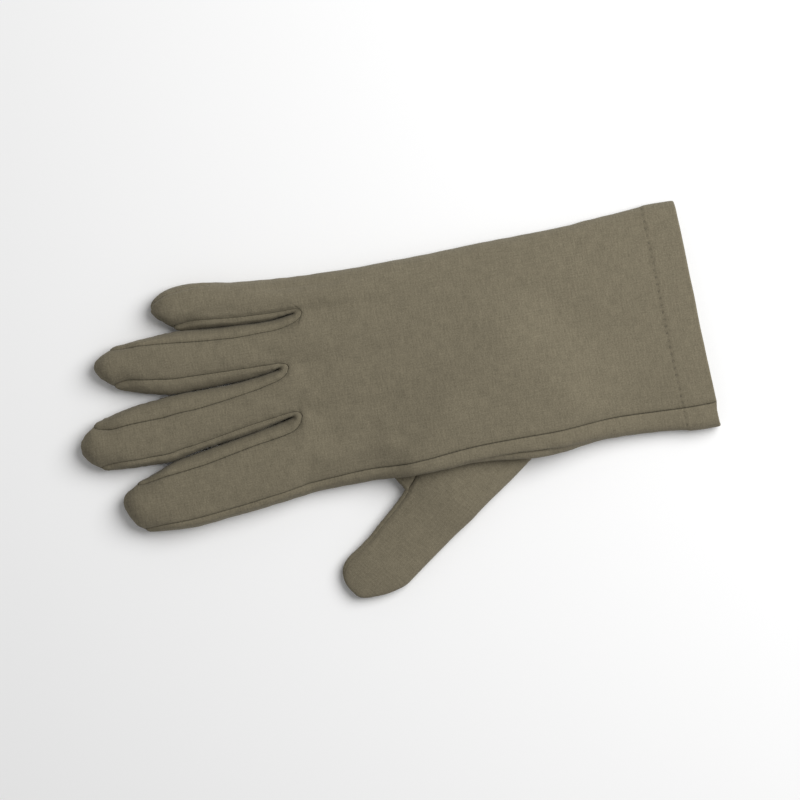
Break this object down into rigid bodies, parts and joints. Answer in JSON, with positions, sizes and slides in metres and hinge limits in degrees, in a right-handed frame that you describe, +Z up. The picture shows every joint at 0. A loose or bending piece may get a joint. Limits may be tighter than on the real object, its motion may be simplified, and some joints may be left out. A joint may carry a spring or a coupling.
{
  "type": "knitted wool glove",
  "caption": "Thin knitted wool dress glove for the right hand, lying flat with its back up, open at the cuff, with seamed fourchettes and a turned-in hem.",
  "frame": {"origin": "middle of the wrist, on the flat underside of the palm that the glove rests on", "axes": "+X from the fingers towards the cuff, +Y towards the little finger, +Z up out of the back of the hand"},
  "size_m": [0.2403, 0.1302, 0.0171],
  "materials": {
    "jersey": "fine wool jersey, olive grey",
    "hem": "turned-in wool jersey with a sewn line"
  },
  "bodies": {
    "root": {"trank_back": "jersey", "trank_palm": "jersey", "fourchette_index_middle": "jersey", "fourchette_middle_ring": "jersey", "fourchette_ring_little": "jersey", "thumb": "jersey", "cuff_hem": "hem"}
  },
  "joints": []
}
